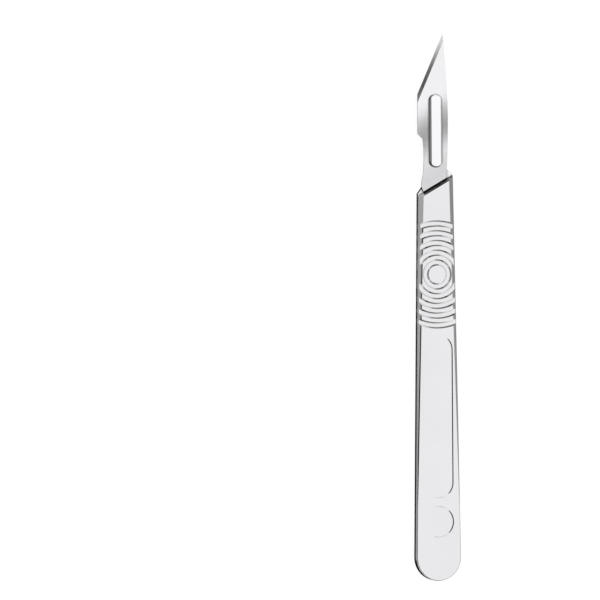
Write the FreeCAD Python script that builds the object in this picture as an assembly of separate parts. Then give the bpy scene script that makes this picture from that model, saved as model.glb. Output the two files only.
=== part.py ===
import FreeCAD, Part
import math
import os

os.makedirs("parts", exist_ok=True)

# A flat steel scalpel handle with its detachable blade clipped on, lying on its back face.
# X runs across the handle, Y from the tail to the point of the blade, Z up out of the front face.
# Sizes are in millimetres and angles in degrees. Y is counted from the tail while the pieces are
# made, and both are moved at the end so that the origin is under the middle of their common box.

# Body of the handle
handle_length = 125.0
handle_thickness = 2.5
tail_width = 12.0
shoulder_width = 9.35
edge_round = 0.3

# Long bevels that run out towards the tail, and the narrow break between face and bevel
bevel_width = 1.22
bevel_drop = 0.59
bevel_end = 8.0
break_inset = 0.1
break_angle = 18.0
break_end = 0.0

# Diagonal shoulder and the thin neck in front of it
fitting_length = 24.1
shoulder_angle = 30.0
shoulder_run = 0.8
neck_thickness = 1.4
neck_margin = 0.45
left_flare_turn = 42.0
right_flare_turn = 58.0
right_flare_radius = 3.0

# Bar that the blade clips on, with a groove along each side under its head
bar_width = 3.6
groove_depth = 0.45
head_width = 3.4
head_length = 18.5
head_round = 0.6
head_edge = 0.05

# Gripping rings, coined into both faces
ring_setback = 22.1
ring_count = 5
first_ring_radius = 3.1
ring_pitch = 2.5
ring_floor = 0.92
ring_depth = 0.3
ring_wall_run = 0.36

# Shallow long panel and round recess on the front face
panel_width = 8.1
panel_start = 21.2
panel_setback = 15.3
dish_centre = 15.2
dish_diameter = 8.2
recess_depth = 0.08
recess_wall_run = 0.3

# Blade, as sheet, and how it sits on the bar
blade_thickness = 0.4
blade_play = 0.05
heel_clearance = 0.2
slot_width = 3.06
slot_mouth_width = 3.5
slot_mouth_length = 4.4
slot_clearance = 0.1

# Blade outline, across from the middle of the bar and along from the bar's tip
point_reach = 15.7
point_offset = 2.15
edge_offset = 4.75
edge_lead = 0.1
blunt_length = 10.1
notch_depth = 1.35
notch_slope = 1.2
waist_width = 3.1
waist_flare = 0.25
hip_width = 3.82
hip_rise = 2.2
hip_round = 0.08
heel_corner = 3.3
spine_heel = 2.9
spine_bulge = 3.4
spine_front = 2.5
spine_front_lead = 11.5

# Ground edge of the blade
grind_width = 0.88
edge_land = 0.04

# Places that follow from the sizes
shoulder_y = handle_length - fitting_length
ring_y = shoulder_y - ring_setback
panel_end = ring_y - panel_setback
tail_radius = tail_width / 2
outer_ring_radius = first_ring_radius + (ring_count - 1) * ring_pitch
bar_half = bar_width / 2
bar_round_y = handle_length - bar_half
head_underside = neck_thickness + blade_thickness + blade_play
overall_length = handle_length + point_reach
slope = math.tan(math.radians(shoulder_angle))
foot_y = shoulder_y + shoulder_run / math.cos(math.radians(shoulder_angle))

# How far cutters reach: past the whole part along it, and past a face above it
beyond = 2 * overall_length
clear = 1.0

# Lean of the straight sides, which are tangents of the round tail
side_span = shoulder_y - tail_radius
side_reach = math.hypot(shoulder_width / 2, side_span)
side_lean = math.atan2(side_span, shoulder_width / 2) - math.acos(tail_radius / side_reach)


def point(x, y, z=0.0):
    return FreeCAD.Vector(x, y, z)


def line(start, end):
    return Part.LineSegment(start, end).toShape()


def arc(start, middle, end):
    return Part.Arc(start, middle, end).toShape()


def half_width(y):
    """Half the width of the body between its straight sides."""
    return (tail_radius - (y - tail_radius) * math.sin(side_lean)) / math.cos(side_lean)


def foot_at(x):
    """Where the foot of the diagonal shoulder is, at a place across the handle."""
    return foot_y + x * slope


def stadium(width, start, end, z):
    """Long outline with two round ends, along Y."""
    half = width / 2
    low = start + half
    high = end - half
    edges = [
        arc(point(-half, low, z), point(0, start, z), point(half, low, z)),
        line(point(half, low, z), point(half, high, z)),
        arc(point(half, high, z), point(0, end, z), point(-half, high, z)),
        line(point(-half, high, z), point(-half, low, z)),
    ]
    return Part.Wire(edges)


def tapered(lower, upper):
    """Solid with sloping walls between two outlines of the same kind."""
    return Part.makeLoft([lower, upper], True, True)


def raised(outline, height):
    return Part.Face(outline).extrude(point(0, 0, height))


def handle_outline():
    """Round tail, straight sides, the two flares of the neck and the bar."""
    tangent = point(tail_radius * math.cos(side_lean), tail_radius * (1 + math.sin(side_lean)))

    # The right flare is an arc off the bar and a straight run to the side
    turn = math.radians(right_flare_turn)
    right_y = foot_at(half_width(shoulder_y)) + neck_margin
    right_corner = point(half_width(right_y), right_y)
    bend_x = bar_half + right_flare_radius * (1 - math.cos(turn))
    run_in = (right_corner.x - bend_x) / math.sin(turn)
    bend_y = right_y + run_in * math.cos(turn)
    right_start_y = bend_y + right_flare_radius * math.sin(turn)
    right_middle = point(
        bar_half + right_flare_radius * (1 - math.cos(turn / 2)),
        right_start_y - right_flare_radius * math.sin(turn / 2),
    )

    # The left flare is one long arc
    sweep = math.radians(left_flare_turn)
    left_y = foot_at(-half_width(shoulder_y)) + neck_margin
    left_corner = point(-half_width(left_y), left_y)
    left_radius = (half_width(left_y) - bar_half) / (1 - math.cos(sweep))
    left_start_y = left_y + left_radius * math.sin(sweep)
    left_middle = point(
        -bar_half - left_radius * (1 - math.cos(sweep / 2)),
        left_start_y - left_radius * math.sin(sweep / 2),
    )

    left_tangent = point(-tangent.x, tangent.y)
    edges = [
        arc(left_tangent, point(0, 0), tangent),
        line(tangent, right_corner),
        line(right_corner, point(bend_x, bend_y)),
        arc(point(bend_x, bend_y), right_middle, point(bar_half, right_start_y)),
        line(point(bar_half, right_start_y), point(bar_half, bar_round_y)),
        arc(point(bar_half, bar_round_y), point(0, handle_length), point(-bar_half, bar_round_y)),
        line(point(-bar_half, bar_round_y), point(-bar_half, left_start_y)),
        arc(point(-bar_half, left_start_y), left_middle, left_corner),
        line(left_corner, left_tangent),
    ]
    return Part.Wire(edges)


def rounded_blank():
    """The outline at full thickness, with the rims of the body rounded."""
    blank = raised(handle_outline(), handle_thickness)
    rims = []
    for edge in blank.Edges:
        box = edge.BoundBox
        flat = box.ZLength < 0.001
        on_body = box.YMin < tail_radius * 2
        if flat and on_body:
            rims.append(edge)
    return blank.makeFillet(edge_round, rims)


def shoulder_cutter():
    """Everything in front of the diagonal shoulder and above the thin neck."""
    drop = handle_thickness - neck_thickness
    overrun = shoulder_run / drop * clear
    section = Part.makePolygon([
        point(0, -overrun, handle_thickness + clear),
        point(0, shoulder_run, neck_thickness),
        point(0, beyond, neck_thickness),
        point(0, beyond, handle_thickness + clear),
        point(0, -overrun, handle_thickness + clear),
    ])
    cutter = Part.Face(section).extrude(point(beyond, 0, 0))
    cutter.translate(point(-beyond / 2, 0, 0))
    cutter.rotate(point(0, 0, 0), point(0, 0, 1), shoulder_angle)
    cutter.translate(point(0, shoulder_y, 0))
    return cutter


def long_cutter(side, inset, angle, start_y, end_y):
    """Flat cut along one side of the front face, falling outward at an angle. Its inner line
    leaves the side at the start and is inset from it by a given width at the shoulder."""
    up = point(0, 0, 1)
    run_out = point(side * half_width(start_y), start_y, handle_thickness)
    inner = point(side * (half_width(shoulder_y) - inset), shoulder_y, handle_thickness)
    along = (inner - run_out).normalize()
    outward = along.cross(up) * side
    fall = outward * math.cos(angle) - up * math.sin(angle)
    normal = outward * math.sin(angle) + up * math.cos(angle)
    tail_end = run_out - along * beyond
    front_end = run_out + along * ((end_y - start_y) / along.y)
    across = fall * tail_width
    corners = [
        tail_end - across,
        front_end - across,
        front_end + across,
        tail_end + across,
        tail_end - across,
    ]
    return Part.Face(Part.makePolygon(corners)).extrude(normal * tail_width)


def bevel_cutter(side):
    """Long bevel, widest at the shoulder."""
    return long_cutter(side, bevel_width, math.atan2(bevel_drop, bevel_width), bevel_end, beyond)


def break_cutter(side):
    """Narrow break between the face and a bevel, from the outer ring's groove to the tail."""
    inset = bevel_width + break_inset
    ring_x = half_width(ring_y + outer_ring_radius) - bevel_width
    ring_crossing = ring_y + math.sqrt(outer_ring_radius ** 2 - ring_x ** 2)
    return long_cutter(side, inset, math.radians(break_angle), break_end, ring_crossing)


def ring_cutters(face_z, into):
    """Concentric grooves with sloping walls. The outer ones run out through both sides."""
    cutters = []
    half_floor = ring_floor / 2
    for number in range(ring_count):
        radius = first_ring_radius + number * ring_pitch
        rise = ring_wall_run / ring_depth * clear
        half_mouth = half_floor + ring_wall_run + rise
        section = Part.makePolygon([
            point(radius - half_mouth, 0, face_z - into * clear),
            point(radius + half_mouth, 0, face_z - into * clear),
            point(radius + half_floor, 0, face_z + into * ring_depth),
            point(radius - half_floor, 0, face_z + into * ring_depth),
            point(radius - half_mouth, 0, face_z - into * clear),
        ])
        ring = Part.Face(section).revolve(point(0, 0, 0), point(0, 0, 1), 360)
        ring.translate(point(0, ring_y, 0))
        cutters.append(ring)
    return cutters


def recess_cutter(width, start, end):
    """Shallow recess with round ends and sloping walls, cut from above the front face."""
    run = recess_wall_run
    rise = run / recess_depth * clear
    floor = stadium(width - 2 * run, start + run, end - run, handle_thickness - recess_depth)
    mouth = stadium(width + 2 * rise, start - rise, end + rise, handle_thickness + clear)
    return tapered(floor, mouth)


def dish_cutter():
    """Round recess near the tail, with the same floor and wall as the panel."""
    radius = dish_diameter / 2
    rise = recess_wall_run / recess_depth * clear
    return Part.makeCone(
        radius - recess_wall_run,
        radius + rise,
        recess_depth + clear,
        point(0, dish_centre, handle_thickness - recess_depth),
    )


def bar_layer(width, z, height):
    """One layer of the bar, set in evenly from the bar's own outline."""
    inset = (bar_width - width) / 2
    start = handle_length - head_length + inset
    return raised(stadium(width, start, handle_length - inset, z), height)


def head_profile():
    """Section across the bar's head, flat on top and rounded along both sides."""
    half = head_width / 2
    low = head_underside
    top = handle_thickness
    radius = min(head_round, top - low - head_edge)
    turn = radius * (1 - math.cos(math.radians(45)))
    section = [
        line(point(-half, 0, low), point(half, 0, low)),
        line(point(half, 0, low), point(half, 0, top - radius)),
        arc(point(half, 0, top - radius), point(half - turn, 0, top - turn), point(half - radius, 0, top)),
        line(point(half - radius, 0, top), point(radius - half, 0, top)),
        arc(point(radius - half, 0, top), point(turn - half, 0, top - turn), point(-half, 0, top - radius)),
        line(point(-half, 0, top - radius), point(-half, 0, low)),
    ]
    return Part.Face(Part.Wire(section))


def clip_bar():
    """Grooved waist and round-sided head of the bar. The head ends level with the front face."""
    waist_height = head_underside - neck_thickness
    waist = bar_layer(bar_width - 2 * groove_depth, neck_thickness, waist_height)
    head = head_profile().extrude(point(0, handle_length, 0))
    head = head.common(bar_layer(head_width, head_underside, handle_thickness - head_underside))
    return [waist, head]


def make_handle():
    solid = rounded_blank()
    solid = solid.cut(shoulder_cutter())
    for side in (-1, 1):
        solid = solid.cut([bevel_cutter(side), break_cutter(side)])
    solid = solid.cut(ring_cutters(handle_thickness, -1) + ring_cutters(0, 1))
    solid = solid.cut([recess_cutter(panel_width, panel_start, panel_end), dish_cutter()])
    solid = solid.fuse(clip_bar())
    return solid.removeSplitter()


def blade_outline():
    """Straight cutting edge, blunt side with a notch, waist, slanted heel and arched spine."""
    heel_gap = heel_clearance / math.cos(math.radians(shoulder_angle))
    tip = point(point_offset, handle_length + point_reach)
    edge_end = point(-edge_offset, handle_length + edge_lead)
    blunt_end = point(-edge_offset, handle_length - blunt_length)
    notch = point(-edge_offset + notch_depth, blunt_end.y - notch_slope)
    heel_left = point(-heel_corner, foot_at(-heel_corner) + heel_gap)
    heel_right = point(spine_heel, foot_at(spine_heel) + heel_gap)
    hip = point(-hip_width, heel_left.y + hip_rise)
    hip_side = point(-hip_width + hip_round, heel_left.y + hip_rise / 2)
    waist_end = point(-waist_width - waist_flare, hip.y + hip_rise)
    waist = point(-waist_width, (notch.y + waist_end.y) / 2)
    spine_end = point(spine_front, handle_length + spine_front_lead)
    spine_middle = point(spine_bulge, (heel_right.y + spine_end.y) / 2)
    edges = [
        line(tip, edge_end),
        line(edge_end, blunt_end),
        line(blunt_end, notch),
        arc(notch, waist, waist_end),
        line(waist_end, hip),
        arc(hip, hip_side, heel_left),
        line(heel_left, heel_right),
        arc(heel_right, spine_middle, spine_end),
        line(spine_end, tip),
    ]
    return Part.Wire(edges)


def slot_cutters():
    """Long slot for the bar, with a wider mouth at the heel end that lets the head through."""
    start = handle_length - head_length - slot_clearance
    end = handle_length + slot_clearance
    low = -clear
    height = blade_thickness + 2 * clear
    narrow = raised(stadium(slot_width, start, end, low), height)
    mouth_end = start + slot_mouth_length + slot_mouth_width / 2
    mouth = raised(stadium(slot_mouth_width, start, mouth_end, low), height)
    return [narrow, mouth]


def grind_cutter(side):
    """Flat grind along the cutting edge, on one face of the sheet."""
    tip = point(point_offset, handle_length + point_reach, blade_thickness / 2)
    heel = point(-edge_offset, handle_length + edge_lead, blade_thickness / 2)
    along = (heel - tip).normalize()
    inward = point(0, 0, 1).cross(along)
    land = tip + point(0, 0, side * edge_land / 2)
    fall = inward * grind_width + point(0, 0, side * (blade_thickness - edge_land) / 2)
    fall.normalize()
    outward = point(0, 0, side)
    corners = []
    for step, reach in ((-1, -1), (1, -1), (1, 1), (-1, 1), (-1, -1)):
        corners.append(land + along * (step * beyond) + fall * (reach * edge_offset))
    return Part.Face(Part.makePolygon(corners)).extrude(outward * edge_offset)


def make_blade():
    sheet = raised(blade_outline(), blade_thickness)
    sheet = sheet.cut(slot_cutters())
    sheet = sheet.cut([grind_cutter(1), grind_cutter(-1)])
    sheet.translate(point(0, 0, neck_thickness))
    return sheet.removeSplitter()


def save(shape, name):
    shape.translate(point(0, -overall_length / 2, 0))
    solids = shape.Solids
    print(name, "solids", len(solids), "valid", shape.isValid(), "volume", round(shape.Volume, 2))
    solids[0].exportStep("parts/" + name + ".step")


save(make_handle(), "handle")
save(make_blade(), "blade")
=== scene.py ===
# %% [markdown]
# # A flat steel scalpel handle with its blade fitted
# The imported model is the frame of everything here. It brings two pieces, `handle` and `blade`, at
# their real size in metres, lying on the flat back face. This lesson gives them their finish, lays
# them on a pale floor, lights them and looks down at them through a long lens.

import math

import bpy
from mathutils import Matrix, Vector


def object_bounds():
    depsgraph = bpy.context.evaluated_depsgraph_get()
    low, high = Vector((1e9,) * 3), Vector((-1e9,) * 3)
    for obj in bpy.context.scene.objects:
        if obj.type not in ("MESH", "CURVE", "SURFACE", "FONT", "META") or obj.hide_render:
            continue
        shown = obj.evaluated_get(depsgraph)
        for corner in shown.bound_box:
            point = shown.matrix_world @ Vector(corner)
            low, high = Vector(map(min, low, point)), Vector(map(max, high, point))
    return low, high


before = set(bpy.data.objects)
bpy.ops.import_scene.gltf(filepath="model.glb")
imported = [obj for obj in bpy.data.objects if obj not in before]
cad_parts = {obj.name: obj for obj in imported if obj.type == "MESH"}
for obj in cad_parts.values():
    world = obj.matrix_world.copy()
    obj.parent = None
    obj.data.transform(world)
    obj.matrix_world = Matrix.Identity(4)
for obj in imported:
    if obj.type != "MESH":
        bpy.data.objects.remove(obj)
cad_low, cad_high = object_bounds()
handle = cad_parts["handle"]
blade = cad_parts["blade"]
MM = 0.001
print("pieces", sorted(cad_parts), "box", tuple(cad_low), tuple(cad_high))

# %% [markdown]
# ## The camera
# The photograph is taken with a long lens, from above and a little to the left, so that the left
# side of the handle shows as a narrow band. A long lens keeps the two ends the same size. The
# handle stands right of the middle of the picture. The lens could be shifted for that, but a shift
# would push the part aside in every other view too, so the camera is moved instead.

# %% Camera
IMAGE_SIDE = 600
LENS = 200.0
SENSOR = 36.0
CLIP_NEAR = 0.01
CLIP_FAR = 20.0
PIXELS_PER_MM = 3.88
VIEW_FROM_LEFT = math.radians(18.0)
ROLL = math.radians(-0.4)
MIDDLE_PIXEL = (434.4, 307.3)


def make_camera():
    """A long lens whose picture puts the middle of the part on its pixel of the photograph."""
    data = bpy.data.cameras.new("camera")
    data.lens = LENS
    data.sensor_width = SENSOR
    data.clip_start = CLIP_NEAR
    data.clip_end = CLIP_FAR
    camera = bpy.data.objects.new("camera", data)
    bpy.context.scene.collection.objects.link(camera)

    per_pixel = SENSOR / LENS / IMAGE_SIDE
    distance = MM / (per_pixel * PIXELS_PER_MM)
    side = (MIDDLE_PIXEL[0] - IMAGE_SIDE / 2) * per_pixel
    rise = (IMAGE_SIDE / 2 - MIDDLE_PIXEL[1]) * per_pixel

    lean = VIEW_FROM_LEFT - math.atan(side)
    back = Vector((-math.sin(lean), 0.0, math.cos(lean)))
    across = Vector((math.cos(lean), 0.0, math.sin(lean)))
    along = Vector((0.0, 1.0, 0.0))
    right = across * math.cos(ROLL) + along * math.sin(ROLL)
    up = along * math.cos(ROLL) - across * math.sin(ROLL)

    camera.location = (back - right * side - up * rise) * distance
    camera.rotation_mode = "QUATERNION"
    camera.rotation_quaternion = Matrix((right, up, back)).transposed().to_quaternion()
    bpy.context.scene.camera = camera
    return camera


camera = make_camera()
print("camera", round(camera.location.length, 3), "m from the middle of the part")

# %% [markdown]
# ## Small helpers for nodes
# Every finish here is a Principled shader with a few nodes in front of it. An input of a node is
# either a plain value or the output of another node, and `feed` takes both. So one short line makes
# a node and says what goes into it, and a material reads like a sum from top to bottom.

# %% Node helpers


def feed(tree, socket, source):
    """Give an input its value, or link it to another node's output."""
    if isinstance(source, bpy.types.NodeSocket):
        tree.links.new(source, socket)
    else:
        socket.default_value = source


def node(tree, kind, **sources):
    """One node, with its inputs fed by name; a name's underscore stands for a blank."""
    made = tree.nodes.new(kind)
    for name, source in sources.items():
        feed(tree, made.inputs[name.replace("_", " ")], source)
    return made


def operation(tree, kind, name, *sources):
    """One Math or Vector Math node, with its inputs fed in order."""
    made = tree.nodes.new(kind)
    made.operation = name
    for socket, source in zip(made.inputs, sources):
        feed(tree, socket, source)
    return made


def maths(tree, name, *sources):
    """The result of one Math node."""
    return operation(tree, "ShaderNodeMath", name, *sources).outputs["Value"]


def spread(tree, source, given=(0.0, 1.0), wanted=(0.0, 1.0)):
    """A value in the given range moved to its place in the wanted range, and kept inside it."""
    made = node(tree, "ShaderNodeMapRange", Value=source, From_Min=given[0], From_Max=given[1])
    feed(tree, made.inputs["To Min"], wanted[0])
    feed(tree, made.inputs["To Max"], wanted[1])
    return made.outputs["Result"]


print("node helpers ready")

# %% [markdown]
# ## Greys
# Steel, black card and a white floor are all greys, so no other colour is painted here. A ramp
# turns a value from nought to one into a grey, and a list of stops says which grey it is where. The
# grey is only a number, so a ramp can just as well say how far a surface leans.

# %% Grey helpers
HALFWAY = 0.5


def grey_of(level):
    """A plain grey as the four numbers of a colour."""
    return (level, level, level, 1.0)


def ramp(tree, source, stops):
    """A colour ramp through grey stops, each given as its place and its grey.

    A stop is added halfway and gets its own place afterwards.
    """
    made = node(tree, "ShaderNodeValToRGB", Fac=source)
    elements = made.color_ramp.elements
    while len(elements) < len(stops):
        elements.new(HALFWAY)
    for element, (place, level) in zip(elements, stops):
        element.position = place
        element.color = grey_of(level)
    return made.outputs["Color"]


def mixed(tree, blend, share, first, second):
    """The colour that one Mix node makes of two."""
    made = tree.nodes.new("ShaderNodeMix")
    made.data_type = "RGBA"
    made.blend_type = blend
    feed(tree, made.inputs["Factor"], share)
    feed(tree, made.inputs["A"], first)
    feed(tree, made.inputs["B"], second)
    return made.outputs["Result"]


WHITE = grey_of(1.0)
print("white is", WHITE)

# %% [markdown]
# ## What the two steels share
# Where two steel faces meet in a narrow corner the tone is painted darker, as painted
# shade for the shade that falls there. The Ambient Occlusion node finds such places: it says
# how open the surface is within a short reach. Both steels also have a very low relief, far
# too low to model, which a Bump node makes from the noise of their grain.

# %% Painted corner shade and relief
CORNER_SHADE_REACH = 0.75 * MM
CORNER_SHADE_STOPS = [(0.6, 0.05), (0.8, 0.7), (0.94, 1.0)]
RELIEF_STRENGTH = 0.05
RELIEF_DEPTH = 0.02 * MM


def painted_corner_shade(tree, tone):
    """A tone with painted shade, darker where another steel face stands close."""
    # Painted shade: the tone is multiplied by a dark grey where the surface is hemmed in.
    near = node(tree, "ShaderNodeAmbientOcclusion", Distance=CORNER_SHADE_REACH)
    return mixed(tree, "MULTIPLY", 1.0, tone, ramp(tree, near.outputs["AO"], CORNER_SHADE_STOPS))


def relief(tree, height, normal):
    """A surface direction with the low relief of the grain in it."""
    bump = node(tree, "ShaderNodeBump", Strength=RELIEF_STRENGTH, Distance=RELIEF_DEPTH)
    feed(tree, bump.inputs["Height"], height)
    feed(tree, bump.inputs["Normal"], normal)
    return bump.outputs["Normal"]


print("corners darken within", round(CORNER_SHADE_REACH / MM, 2), "mm")

# %% [markdown]
# ## Grain
# Rolling, grinding and polishing leave fine lines in steel. Noise that is stretched in one
# direction looks like them: it changes slowly along the lines and quickly across them. The numbers
# say how often it changes in a metre. It is laid out by the place in the object, in metres, so it
# stays on the steel when the part is moved.

# %% Grain helpers
GRAIN_ALONG = 18.0
GRAIN_ACROSS = 900.0


def object_place(tree):
    """Where a point of the surface lies in its object."""
    return tree.nodes.new("ShaderNodeTexCoord").outputs["Object"]


def parts_of(tree, vector):
    """The outputs X, Y and Z of a vector."""
    return node(tree, "ShaderNodeSeparateXYZ", Vector=vector).outputs


def noise(tree, place, scale, detail):
    """Soft noise from nought to one."""
    made = node(tree, "ShaderNodeTexNoise", Vector=place, Scale=scale, Detail=detail)
    return made.outputs["Fac"]


def stretched(tree, place, scale, detail):
    """Noise with its own scale for X, Y and Z."""
    mapping = node(tree, "ShaderNodeMapping", Vector=place, Scale=scale)
    return noise(tree, mapping.outputs["Vector"], 1.0, detail)


print("grain changes", GRAIN_ALONG, "times in a metre along and", GRAIN_ACROSS, "times across")

# %% [markdown]
# ## The handle's steel
# The handle is coined from stainless bar and then polished, so its flats are bright and almost
# plain. What tells it from a flat grey is small: a fine grain that runs along the bar, soft patches
# that are a touch darker, and rims that are rounded by the polishing wheel. The grain is noise that
# is stretched along Y, and it only touches the roughness and the relief. The rims could be rounded
# in the mesh, but it is the imported one, so the Bevel node rounds them for the light alone. The
# neck and the bar are painted a little brighter than the rest, a painted highlight for the brighter
# light that they show.

# %% Handle steel
GRAIN_DETAIL = 4.0
PATCH_SCALE = 90.0
PATCH_DETAIL = 3.0
HANDLE_TONES = [(0.3, 0.785), (0.7, 0.81)]
HANDLE_ROUGHNESS = (0.08, 0.13)
BRIGHT_NECK_FROM = 33.0 * MM
BRIGHT_NECK_TO = 36.0 * MM
BRIGHT_NECK_GAIN = 1.16
RIM_ROUND = 0.05 * MM
RIM_SAMPLES = 6


def new_material(name):
    """A fresh material, its node tree and its Principled shader."""
    material = bpy.data.materials.new(name)
    material.use_nodes = True
    return material, material.node_tree, material.node_tree.nodes["Principled BSDF"]


def dress(piece, material):
    """Give a piece one material in place of what it came with."""
    piece.data.materials.clear()
    piece.data.materials.append(material)


def painted_bright_neck(tree, place, tone):
    """The tone with a painted highlight, made brighter on the neck and the bar."""
    # Painted highlight: the tone is raised along Y over the neck and the bar.
    gain = spread(tree, parts_of(tree, place)["Y"], (BRIGHT_NECK_FROM, BRIGHT_NECK_TO), (1.0, BRIGHT_NECK_GAIN))
    brighter = operation(tree, "ShaderNodeVectorMath", "SCALE", tone)
    feed(tree, brighter.inputs["Scale"], gain)
    return brighter.outputs["Vector"]


def handle_steel():
    """Polished stainless steel with a fine grain along the bar."""
    material, tree, shader = new_material("handle_steel")
    place = object_place(tree)
    grain = stretched(tree, place, (GRAIN_ACROSS, GRAIN_ALONG, GRAIN_ACROSS), GRAIN_DETAIL)
    patches = noise(tree, place, PATCH_SCALE, PATCH_DETAIL)

    tone = painted_bright_neck(tree, place, ramp(tree, patches, HANDLE_TONES))
    # The base colour carries painted shade in narrow corners.
    feed(tree, shader.inputs["Base Color"], painted_corner_shade(tree, tone))
    feed(tree, shader.inputs["Roughness"], spread(tree, grain, wanted=HANDLE_ROUGHNESS))
    rims = node(tree, "ShaderNodeBevel", Radius=RIM_ROUND)
    rims.samples = RIM_SAMPLES
    feed(tree, shader.inputs["Normal"], relief(tree, grain, rims.outputs["Normal"]))
    shader.inputs["Metallic"].default_value = 1.0
    return material


dress(handle, handle_steel())
print("handle steel on", handle.name)

# %% [markdown]
# ## The blade's ground edge
# The bevel beside the cutting edge is ground, and the wheel leaves it slightly hollow, so it
# mirrors the lamp near the point and the dark room in its middle. The hollow is far too shallow to
# model. The surface direction is leaned sideways in its place, by a ramp along the edge: a half in
# the ramp is no lean, and nought and one are the most there can be, to either side. The ground
# edge is told from the flat front by how far it looks up. The back looks down, so it is leaned with
# the edge, by two degrees at most.

# %% Lean of the ground edge
GRIND_FROM = 50.0 * MM
GRIND_TO = 72.0 * MM
FLAT_UPRIGHT = 0.995
GROUND_UPRIGHT = 0.985
MOST_TWIST = math.tan(math.radians(6.0))
TWIST = [
    (0.0, 0.49), (0.156, 0.455), (0.25, 0.38), (0.343, 0.335), (0.44, 0.365), (0.53, 0.395),
    (0.62, 0.45), (0.72, 0.52), (0.81, 0.56), (0.9, 0.6),
]


def edge_lean(tree, height, upright):
    """How far the ground edge leans across the blade, nought on the flat front."""
    ground = spread(tree, upright, (FLAT_UPRIGHT, GROUND_UPRIGHT))
    twist = ramp(tree, spread(tree, height, (GRIND_FROM, GRIND_TO)), TWIST)
    centred = maths(tree, "MULTIPLY_ADD", twist, 2 * MOST_TWIST, -MOST_TWIST)
    return maths(tree, "MULTIPLY", centred, ground)


print("ground edge leaned from", round(GRIND_FROM / MM, 1), "to", round(GRIND_TO / MM, 1), "mm")

# %% [markdown]
# ## The blade's bend
# A blade that is clipped on is bent very slightly where the bar grips it. Nobody sees the bend
# itself, but a mirror shows it. The mesh could be bent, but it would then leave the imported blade, so
# here too the surface direction is leaned by a few degrees in its place. The lean towards the point
# is a ramp along the blade, set a little askew like the grip itself, and it is a little weaker on
# the right than on the left.

# %% Lean of the bend
BEND_FROM = 30.0 * MM
BEND_TO = 60.0 * MM
BEND_SKEW = -0.615
MOST_LEAN = math.tan(math.radians(8.0))
LEAN_PER_METRE_ACROSS = -3.5
LEAN = [
    (0.0, 0.583), (0.13, 0.568), (0.17, 0.549), (0.233, 0.522), (0.3, 0.48), (0.34, 0.497),
    (0.37, 0.531), (0.44, 0.572), (0.5, 0.59), (0.54, 0.575), (0.575, 0.557), (0.61, 0.525),
    (0.645, 0.496), (0.68, 0.455), (0.713, 0.4), (0.747, 0.32), (0.78, 0.24), (0.83, 0.0),
]


def vector_maths(tree, name, *sources):
    """The vector that one Vector Math node gives."""
    return operation(tree, "ShaderNodeVectorMath", name, *sources).outputs["Vector"]


def bent_normal(tree, place):
    """The surface direction, leaned across by the edge's ramp and along by the bend's."""
    parts = parts_of(tree, place)
    surface = tree.nodes.new("ShaderNodeNewGeometry").outputs["Normal"]
    upright = parts_of(tree, surface)["Z"]

    askew = maths(tree, "MULTIPLY_ADD", parts["X"], BEND_SKEW, parts["Y"])
    along = ramp(tree, spread(tree, askew, (BEND_FROM, BEND_TO)), LEAN)
    share = maths(tree, "MULTIPLY_ADD", parts["X"], LEAN_PER_METRE_ACROSS, along)
    to_point = maths(tree, "MULTIPLY", share, maths(tree, "MULTIPLY", upright, MOST_LEAN))
    to_side = edge_lean(tree, parts["Y"], upright)

    lean = node(tree, "ShaderNodeCombineXYZ", X=to_side, Y=to_point).outputs["Vector"]
    return vector_maths(tree, "NORMALIZE", vector_maths(tree, "ADD", surface, lean))


most_used = MOST_LEAN * max(lean for place, lean in LEAN)
print("bend leans by up to", round(math.degrees(math.atan(most_used)), 1), "degrees")

# %% [markdown]
# ## The blade's steel
# The blade is rolled strip, a little paler and duller than the handle, and it carries faint lines
# from the grinding of its faces, which run across it at a slant. The plan is the one of the handle:
# stretched noise, here turned by the angle of the lines. The leaned surface direction goes into the
# relief, and the relief into the shader.

# %% Blade steel
BRUSH_TURN = math.radians(35.0)
BRUSH_ALONG = 4 * GRAIN_ALONG
BRUSH_DETAIL = 3.0
BLADE_TONES = [(0.3, 0.865), (0.7, 0.895)]
BLADE_ROUGHNESS = (0.12, 0.18)


def blade_steel():
    """Rolled steel strip with faint slanting lines and painted shade in narrow corners."""
    material, tree, shader = new_material("blade_steel")
    place = object_place(tree)
    turn = node(tree, "ShaderNodeMapping", Vector=place, Rotation=(0.0, 0.0, BRUSH_TURN))
    scale = (BRUSH_ALONG, GRAIN_ACROSS, GRAIN_ACROSS)
    brush = stretched(tree, turn.outputs["Vector"], scale, BRUSH_DETAIL)

    # The base colour carries painted shade in narrow corners.
    feed(tree, shader.inputs["Base Color"], painted_corner_shade(tree, ramp(tree, brush, BLADE_TONES)))
    feed(tree, shader.inputs["Roughness"], spread(tree, brush, wanted=BLADE_ROUGHNESS))
    feed(tree, shader.inputs["Normal"], relief(tree, brush, bent_normal(tree, place)))
    shader.inputs["Metallic"].default_value = 1.0
    return material


dress(blade, blade_steel())
print("blade steel on", blade.name)

# %% [markdown]
# ## The ground beside the handle
# The dark lines along the foot of the sides are the shaded ground that the steel mirrors there.
# So the floor's colour is painted dark where the handle stands close over it, a painted shadow
# that all rays but the camera's see. Round the left of the tail the line is wider, which a flat
# ring of painted dark ground makes. The ring fades out towards the right, where the photograph
# shows no line.

# %% Painted dark ground
CONTACT = 0.6 * MM
CONTACT_STOPS = [(0.93, 0.0), (0.97, 1.0)]
TAIL_RADIUS = 6.0 * MM
TAIL_CENTRE = (0.0, cad_low.y + TAIL_RADIUS, 0.0)
RING_DARK_TO = 7.2 * MM
RING_CLEAR_FROM = 7.8 * MM
RING_STARTS = 0.6 * MM
RING_FULL = 1.2 * MM
RING_FADE_FROM = -1.0 * MM
RING_FADE_TO = 2.5 * MM


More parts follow.
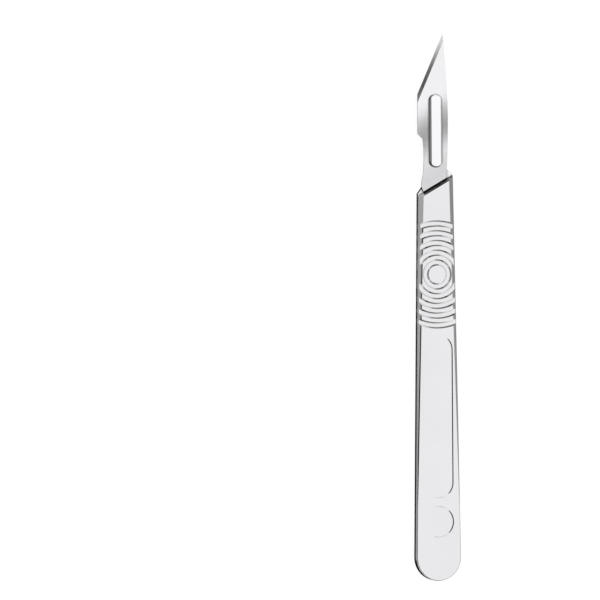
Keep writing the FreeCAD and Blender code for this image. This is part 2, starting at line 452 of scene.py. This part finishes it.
def outside_painted_ring(tree):
    """Nought on the painted dark ring round the left of the tail's curve, and one everywhere else."""
    # Painted shade: a ring of dark ground round the left of the tail, fading out to the right.
    place = tree.nodes.new("ShaderNodeNewGeometry").outputs["Position"]
    away = operation(tree, "ShaderNodeVectorMath", "DISTANCE", place, TAIL_CENTRE).outputs["Value"]
    parts = parts_of(tree, place)
    outside = spread(tree, away, (RING_DARK_TO, RING_CLEAR_FROM))
    edges = (TAIL_CENTRE[1] - RING_FULL, TAIL_CENTRE[1] - RING_STARTS)
    ahead = spread(tree, parts["Y"], edges)
    right_of = spread(tree, parts["X"], (RING_FADE_FROM, RING_FADE_TO))
    return maths(tree, "MAXIMUM", maths(tree, "MAXIMUM", outside, ahead), right_of)


def clear_of_painted_shade(tree):
    """One on open ground, and nought where shade is painted beside the handle."""
    # Painted shade: the ground is made dark wherever the handle stands close over it.
    near = node(tree, "ShaderNodeAmbientOcclusion", Distance=CONTACT)
    clear = ramp(tree, near.outputs["AO"], CONTACT_STOPS)
    return maths(tree, "MULTIPLY", clear, outside_painted_ring(tree))


print("tail's ring reaches", round((RING_CLEAR_FROM - TAIL_RADIUS) / MM, 1), "mm past the tail")

# %% [markdown]
# ## The floor
# The photograph has a plain white ground. A white floor under soft light is still a light grey,
# and more light would wash out the steel. So the camera sees the floor as mostly a plain glow, with
# a small share of real shading on top. The sum is white in the open and a little darker where the
# handle keeps the light off, which is its soft shadow. All other rays see a plain pale floor with
# painted shade on the ground beside the handle, and mirrored rays see it glow a little, less where
# that shade is painted.

# %% Floor
FLOOR_SIDE = 6.0
FLOOR_PALE = 0.86
FLOOR_ROUGHNESS = 0.7
SHADOW_SHARE = 0.18
CAMERA_GLOW = 0.945
MIRROR_GLOW = 0.12


def panel(name, across, along):
    """A flat rectangle, given by where its sides and its ends are."""
    left, right = across
    near, far = along
    mesh = bpy.data.meshes.new(name)
    corners = [(left, near, 0.0), (right, near, 0.0), (right, far, 0.0), (left, far, 0.0)]
    mesh.from_pydata(corners, [], [(0, 1, 2, 3)])
    made = bpy.data.objects.new(name, mesh)
    bpy.context.scene.collection.objects.link(made)
    return made


def pale_floor():
    """White for the camera, pale for all other rays, with a soft shadow for both."""
    material, tree, shader = new_material("pale_floor")
    rays = tree.nodes.new("ShaderNodeLightPath").outputs
    painted_shade_mask = clear_of_painted_shade(tree)

    # Painted shade: the pale tone and the mirrored glow both go dark beside the handle.
    pale = maths(tree, "MULTIPLY", painted_shade_mask, FLOOR_PALE)
    tone = mixed(tree, "MIX", rays["Is Camera Ray"], pale, grey_of(SHADOW_SHARE))
    feed(tree, shader.inputs["Base Color"], tone)

    mirrored = maths(tree, "MULTIPLY", painted_shade_mask, MIRROR_GLOW)
    in_mirror = maths(tree, "MULTIPLY", rays["Is Glossy Ray"], mirrored)
    glow = maths(tree, "MULTIPLY_ADD", rays["Is Camera Ray"], CAMERA_GLOW, in_mirror)
    feed(tree, shader.inputs["Emission Strength"], glow)
    shader.inputs["Emission Color"].default_value = WHITE
    shader.inputs["Roughness"].default_value = FLOOR_ROUGHNESS
    shader.inputs["Specular IOR Level"].default_value = 0.0
    return material


half = FLOOR_SIDE / 2
floor = panel("floor", (-half, half), (-half, half))
floor.location.z = cad_low.z
dress(floor, pale_floor())
print("floor", FLOOR_SIDE, "m wide")

# %% [markdown]
# ## Light
# Polished steel shows what is round it, so several small lamps would stand in it as several spots.
# One large soft lamp hangs over the handle and a little to the right, where the front face mirrors
# it to the camera, and that makes the flats bright. It ends where the walls of the grooves begin to
# look past it, so that they show as thin grey lines. Steel takes on the colour of its lamp, and this
# one is very slightly blue.

# %% Lamp
LAMP_DISTANCE = 0.9
LAMP_LEAN = math.radians(25.5)
LAMP_WIDTH = 0.94
LAMP_TAIL_END = -0.62
LAMP_BLADE_END = 0.395
LAMP_WATTS_PER_AREA = 2.57
LAMP_COLOUR = (0.982, 0.974, 1.0)


def hang(thing, reach, y):
    """Hang a thing over the handle on the lamp's slant, facing the handle, unseen by the camera."""
    thing.location = (reach * math.sin(LAMP_LEAN), y, reach * math.cos(LAMP_LEAN))
    thing.rotation_euler = (0.0, LAMP_LEAN, 0.0)
    thing.visible_camera = False


def make_lamp():
    """A soft rectangle of light, as bright per area whatever its size."""
    length = LAMP_BLADE_END - LAMP_TAIL_END
    data = bpy.data.lights.new("soft_lamp", "AREA")
    data.shape = "RECTANGLE"
    data.size = LAMP_WIDTH
    data.size_y = length
    data.energy = LAMP_WATTS_PER_AREA * LAMP_WIDTH * length
    data.color = LAMP_COLOUR
    lamp = bpy.data.objects.new("soft_lamp", data)
    bpy.context.scene.collection.objects.link(lamp)
    hang(lamp, LAMP_DISTANCE, (LAMP_BLADE_END + LAMP_TAIL_END) / 2)
    return lamp


lamp = make_lamp()
print("lamp", round(lamp.data.energy, 2), "W")

# %% [markdown]
# ## A black flag
# A photographer hangs a strip of black card, called a flag, in front of a lamp to give bright metal
# a dark line. This one hangs just under the lamp, beyond the blade's point. The flat face never
# mirrors it, but the slightly bent middle of the blade does, and that is the soft grey band across
# the blade. A band that was painted on would stay dark from every side, and this one moves as a
# mirrored one does. The card's sides and ends are measured in the lamp's own plane.

# %% Flag
FLAG_GAP = 0.02
FLAG_ACROSS = (-0.33, 0.02)
FLAG_ALONG = (0.22, 0.31)
FLAG_TONES = [(0.3, 0.01), (0.7, 0.02)]
FLAG_ROUGHNESS = 0.9
FIBRE_SCALE = 300.0


def flag_black():
    """Black card with a faint fibre."""
    material, tree, shader = new_material("flag_black")
    fibre = node(tree, "ShaderNodeTexNoise", Scale=FIBRE_SCALE)
    feed(tree, shader.inputs["Base Color"], ramp(tree, fibre.outputs["Fac"], FLAG_TONES))
    shader.inputs["Roughness"].default_value = FLAG_ROUGHNESS
    return material


flag = panel("flag", FLAG_ACROSS, FLAG_ALONG)
hang(flag, LAMP_DISTANCE - FLAG_GAP, 0.0)
dress(flag, flag_black())
print("flag", round(FLAG_ALONG[1] - FLAG_ALONG[0], 2), "m wide,", FLAG_GAP, "m under the lamp")

# %% [markdown]
# ## The room
# The rest of the room is grey. Across the handle it has a light band on the left, which the left
# bevel mirrors, a dark gap round the place where a photographer would stand, and a middle grey on
# the right for the right bevel. Along the handle it is brighter some way beyond both ends, so that
# the faces stay bright for someone who looks from the tail or from the point. A picture of a studio
# could be wrapped round the scene, but stops are easier to change one at a time. Across, a stop's
# place is its angle from straight up in degrees, minus to the left. Along, it is how far a direction
# points towards the blade, from minus one to one. The two greys are multiplied. Rays from the camera
# see plain white in place of the room.

# %% Room
ACROSS = [
    (-90.0, 0.08), (-67.0, 0.1), (-62.0, 0.31), (-56.0, 0.31), (-52.0, 0.12), (-44.0, 0.12),
    (-38.0, 0.42), (-32.0, 0.46), (-27.0, 0.42), (-25.0, 0.03), (-7.0, 0.03), (-3.0, 0.22),
    (50.0, 0.22), (60.0, 0.3), (90.0, 0.33),
]
ALONG = [
    (-1.0, 1.0), (-0.9, 1.0), (-0.84, 3.2), (-0.68, 3.2), (-0.56, 1.0), (0.56, 1.0),
    (0.68, 2.8), (0.84, 2.8), (0.9, 0.9), (1.0, 0.8),
]


def lined_up(stops):
    """The stops with their places moved to the nought to one that a colour ramp wants."""
    low = stops[0][0]
    high = stops[-1][0]
    return [((place - low) / (high - low), level) for place, level in stops]


def room_grey(tree):
    """The grey of the room in each direction."""
    parts = parts_of(tree, tree.nodes.new("ShaderNodeTexCoord").outputs["Generated"])
    turn = maths(tree, "ARCTAN2", parts["X"], parts["Z"])
    across = ramp(tree, spread(tree, turn, (-math.pi / 2, math.pi / 2)), lined_up(ACROSS))
    along = ramp(tree, spread(tree, parts["Y"], (-1.0, 1.0)), lined_up(ALONG))
    return maths(tree, "MULTIPLY", across, along)


def make_room():
    """The world: grey for the steel and the floor, white for the camera."""
    world = bpy.data.worlds.new("room")
    world.use_nodes = True
    bpy.context.scene.world = world
    tree = world.node_tree
    walls = tree.nodes["Background"]
    feed(tree, walls.inputs["Color"], WHITE)
    feed(tree, walls.inputs["Strength"], room_grey(tree))
    backdrop = node(tree, "ShaderNodeBackground", Color=WHITE)
    rays = tree.nodes.new("ShaderNodeLightPath").outputs
    seen = node(tree, "ShaderNodeMixShader", Fac=rays["Is Camera Ray"])
    feed(tree, seen.inputs[1], walls.outputs["Background"])
    feed(tree, seen.inputs[2], backdrop.outputs["Background"])
    feed(tree, tree.nodes["World Output"].inputs["Surface"], seen.outputs["Shader"])
    return world


room = make_room()
bpy.context.scene.view_settings.view_transform = "Standard"
print(room.name, "ready, view transform", bpy.context.scene.view_settings.view_transform)
